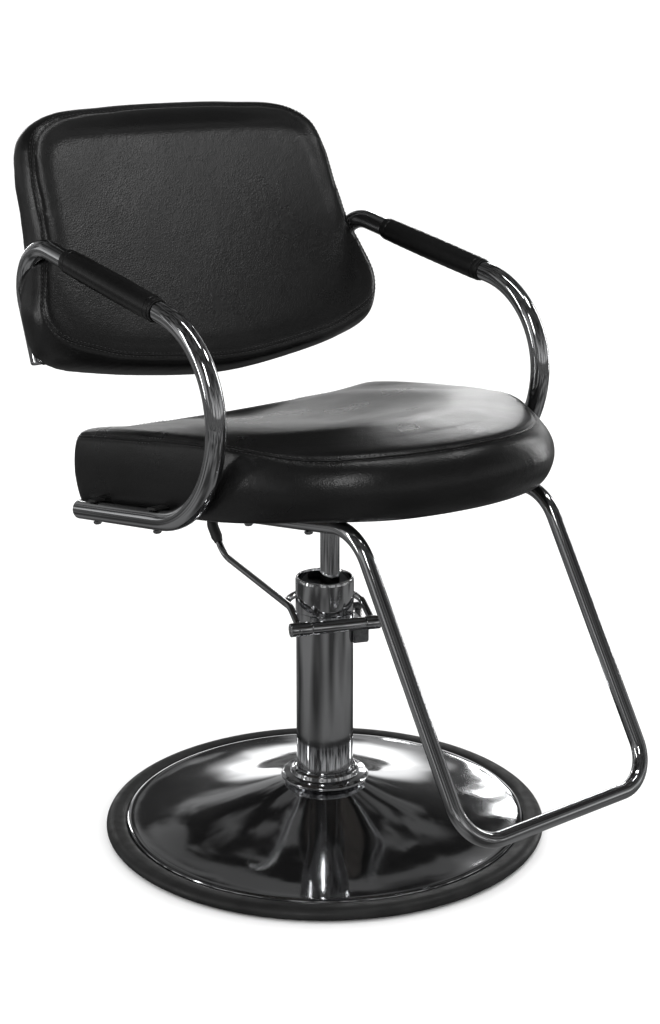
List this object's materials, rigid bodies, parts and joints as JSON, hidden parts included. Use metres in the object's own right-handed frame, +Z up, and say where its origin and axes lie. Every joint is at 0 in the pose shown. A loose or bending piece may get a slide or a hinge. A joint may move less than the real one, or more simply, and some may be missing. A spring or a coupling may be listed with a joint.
{
  "type": "hydraulic salon styling chair",
  "caption": "Salon styling chair: padded swivel seat and fixed backrest with bent tube arms and U-shaped footrest, on a foot-pumped lifting column and round base.",
  "frame": {"origin": "centre of the round base on the floor", "axes": "+Z up along the column; the sitter faces -Y; +X is the sitter's left"},
  "size_m": [0.6, 0.8241, 0.957],
  "materials": {
    "chrome": "polished",
    "steel": "plain",
    "zinc": "zinc plated",
    "brass": "machined",
    "paint": "black paint",
    "rubber": "matt black",
    "vinyl": "fine grain, soft gloss",
    "plywood": "bare plywood"
  },
  "bodies": {
    "base": {"floor_plate": "steel", "rim_ring": "rubber", "base_dish": "chrome", "column_collar": "chrome", "pump_flange": "steel", "flange_bolt_1": "zinc", "flange_bolt_2": "zinc", "flange_bolt_3": "zinc", "pump_casing": "chrome", "pump_cylinder": "steel", "ram_gland": "steel", "ram_wiper_seal": "rubber", "pivot_bracket": "chrome", "pivot_pin": "zinc", "pump_block": "steel", "plunger_spring": "steel"},
    "lift": {"ram": "chrome", "ram_piston": "brass", "swivel_bush": "brass"},
    "lever": {"lever_rod": "chrome", "lever_set_screw": "zinc", "lever_grip": "rubber", "lever_yoke": "chrome"},
    "plunger": {"pump_plunger": "zinc"},
    "seat": {"seat_board": "plywood", "seat_cushion": "vinyl", "arm_bar_front": "paint", "arm_bar_rear": "paint", "seat_plate": "steel", "seat_plate_bolt_1": "zinc", "seat_plate_bolt_2": "zinc", "seat_plate_bolt_3": "zinc", "seat_plate_bolt_4": "zinc", "seat_hub": "chrome", "footrest_tube": "chrome", "footrest_bolt_1": "zinc", "footrest_bolt_2": "zinc", "footrest_bolt_3": "zinc", "footrest_bolt_4": "zinc", "arm_tube_right": "chrome", "arm_tube_left": "chrome", "arm_bolt_right_1": "zinc", "arm_bolt_right_2": "zinc", "arm_bolt_left_1": "zinc", "arm_bolt_left_2": "zinc", "arm_cap_seat_right": "chrome", "arm_cap_seat_left": "chrome", "arm_cap_back_right": "chrome", "arm_cap_back_left": "chrome", "arm_sleeve_right": "vinyl", "arm_sleeve_left": "vinyl", "back_cover": "vinyl", "back_board": "plywood", "back_cushion": "vinyl", "back_bolt_1": "zinc", "back_bolt_2": "zinc", "back_bolt_3": "zinc", "back_bolt_4": "zinc"}
  },
  "joints": [
    {"name": "lift", "type": "slide", "parent": "base", "child": "lift", "axis": [0, 0, 1], "range_m": [0, 0.15]},
    {"name": "swivel", "type": "hinge", "parent": "lift", "child": "seat", "pos_m": [0.0054, -0.0044, 0.43], "axis": [0, 0, 1], "continuous": true},
    {"name": "lever_pivot", "type": "hinge", "parent": "base", "child": "lever", "pos_m": [-0.01948, -0.04821, 0.3], "axis": [-0.9272, 0.3746, 0], "range_deg": [0, 12], "stiffness_Nm_per_rad": 30, "springref_deg": -5.73},
    {"name": "pump_plunge", "type": "slide", "parent": "base", "child": "plunger", "axis": [0, 0, -1], "range_m": [0, 0.012], "deforming": ["plunger_spring"]}
  ],
  "couplings": [
    {"joint": "pump_plunge", "follows": "lever_pivot", "m_per_rad": 0.054}
  ]
}
